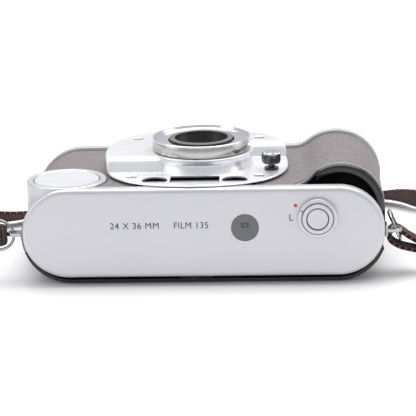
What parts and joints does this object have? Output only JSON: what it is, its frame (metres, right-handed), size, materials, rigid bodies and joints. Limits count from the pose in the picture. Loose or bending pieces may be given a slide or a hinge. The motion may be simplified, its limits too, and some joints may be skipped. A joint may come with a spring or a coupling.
{
  "type": "compact film camera",
  "caption": "Retro compact 35 mm film camera lying on its back, with round flash, raised lens ring, leather grip, split rings and a woven strap.",
  "frame": {"origin": "on the resting plane under the back door, below the middle of the body's length and height", "axes": "+Z forward along the lens and up while the camera lies on its back, +X the viewer's right, -Y the camera's top"},
  "size_m": [0.225, 0.1715, 0.0476],
  "materials": {
    "chassis": "matt black",
    "top_cover": "fine satin silver",
    "bottom_cover": "fine satin silver",
    "front_panel": "fine satin silver",
    "leather": "fine-grained mauve grey",
    "grip_cap": "gloss black",
    "trim": "satin",
    "rear_shell": "matt black",
    "steel": "brushed",
    "flash_housing": "satin silver",
    "reflector": "mirror",
    "clear_glass": "clear",
    "flash_window": "ribbed diffuser",
    "capacitor": "gloss sleeve",
    "lens_ring": "turned bright",
    "lens_black": "matt black",
    "lens_glass": "coated",
    "blades": "blackened",
    "dark_glass": "tinted",
    "sensor": "matt black",
    "screws": "turned",
    "chrome": "polished",
    "red_lamp": "clear dark red",
    "button": "satin silver",
    "lock_ring": "satin silver",
    "lcd": "grey display",
    "board": "lacquered",
    "transport": "moulded",
    "battery": "printed sleeve",
    "brass": "plain",
    "strap": "dark brown webbing"
  },
  "bodies": {
    "body": {"body_core": "chassis", "top_cover": "top_cover", "bottom_cover": "bottom_cover", "front_panel": "front_panel", "leather_left": "leather", "leather_grip": "leather", "grip_end_cap": "grip_cap", "grip_trim": "trim", "rear_frame": "rear_shell", "flash_housing": "flash_housing", "flash_reflector": "reflector", "flash_tube": "clear_glass", "flash_window": "flash_window", "flash_capacitor": "capacitor", "lens_ring": "lens_ring", "shutter_housing": "lens_black", "rear_element": "lens_glass", "viewfinder_window": "clear_glass", "viewfinder_block": "clear_glass", "eyepiece": "clear_glass", "af_window_left": "dark_glass", "af_window_right": "dark_glass", "af_emitter": "sensor", "af_sensor": "sensor", "front_screw_1": "screws", "front_screw_2": "screws", "front_screw_3": "screws", "front_screw_4": "screws", "timer_lamp_ring": "red_lamp", "button_collar": "button", "lcd_window": "lcd", "circuit_board": "board", "film_gate": "chassis", "drive_motor": "steel", "battery": "battery", "battery_spring": "steel", "tripod_bush": "brass", "lug_left": "chrome", "lug_right": "chrome", "strap_band": "strap"},
    "release": {"shutter_button": "button"},
    "lock": {"lock_ring": "lock_ring"},
    "timer": {"timer_knob": "chrome"},
    "door": {"back_door": "rear_shell", "pressure_plate": "steel"},
    "latch": {"door_latch": "rear_shell"},
    "spool": {"takeup_spool": "transport"},
    "sprocket_roller": {"sprocket": "transport"},
    "fork": {"rewind_fork": "transport"},
    "focus_cell": {"lens_cell": "lens_black", "front_element": "lens_glass"},
    "blade_a": {"shutter_blade_a": "blades"},
    "blade_b": {"shutter_blade_b": "blades"},
    "battery_lid": {"battery_door": "bottom_cover", "battery_contact": "steel"},
    "left_ring": {"ring_left": "chrome", "strap_loop_left": "strap"},
    "right_ring": {"ring_right": "chrome", "strap_loop_right": "strap"}
  },
  "joints": [
    {"name": "release_press", "type": "slide", "parent": "body", "child": "release", "axis": [0, 1, 0], "range_m": [0, 0.0008], "stiffness_N_per_m": 400, "springref_m": -0.001},
    {"name": "lock_turn", "type": "hinge", "parent": "body", "child": "lock", "pos_m": [0.0409, -0.03325, 0.02495], "axis": [0, -1, 0], "range_deg": [0, 29]},
    {"name": "timer_press", "type": "slide", "parent": "body", "child": "timer", "axis": [0, 0, -1], "range_m": [0, 0.0008], "stiffness_N_per_m": 400, "springref_m": -0.001},
    {"name": "door_swing", "type": "hinge", "parent": "body", "child": "door", "pos_m": [0.06479, 0, 0.0116], "axis": [0, -1, 0], "range_deg": [0, 95]},
    {"name": "latch_slide", "type": "slide", "parent": "body", "child": "latch", "axis": [0, 1, 0], "range_m": [0, 0.004]},
    {"name": "spool_turn", "type": "hinge", "parent": "body", "child": "spool", "pos_m": [0.035, 0, 0.013], "axis": [0, 1, 0], "continuous": true},
    {"name": "sprocket_turn", "type": "hinge", "parent": "body", "child": "sprocket_roller", "pos_m": [0.0206, 0, 0.008], "axis": [0, 1, 0], "continuous": true},
    {"name": "fork_turn", "type": "hinge", "parent": "body", "child": "fork", "pos_m": [-0.0435, 0, 0.0149], "axis": [0, 1, 0], "continuous": true},
    {"name": "focus_slide", "type": "slide", "parent": "body", "child": "focus_cell", "axis": [0, 0, 1], "range_m": [0, 0.0012]},
    {"name": "blade_a_turn", "type": "hinge", "parent": "body", "child": "blade_a", "pos_m": [0.0096, 0.00065, 0.0204], "axis": [0, 0, 1], "range_deg": [0, 50], "stiffness_Nm_per_rad": 0.0005, "springref_deg": -11.46},
    {"name": "blade_b_turn", "type": "hinge", "parent": "body", "child": "blade_b", "pos_m": [-0.012, 0.00065, 0.0213], "axis": [0, 0, 1], "range_deg": [0, 50]},
    {"name": "battery_lid_swing", "type": "hinge", "parent": "body", "child": "battery_lid", "pos_m": [0.051, 0.03325, 0.0185], "axis": [-1, 0, 0], "range_deg": [0, 100]},
    {"name": "left_ring_swing", "type": "hinge", "parent": "body", "child": "left_ring", "pos_m": [-0.06915, -0.0242, 0.0177], "axis": [0, 0, 1], "range_deg": [-12, 12]},
    {"name": "right_ring_swing", "type": "hinge", "parent": "body", "child": "right_ring", "pos_m": [0.06915, -0.0242, 0.0177], "axis": [0, 0, 1], "range_deg": [-12, 0]}
  ],
  "couplings": [
    {"joint": "blade_b_turn", "follows": "blade_a_turn", "ratio": 1}
  ]
}
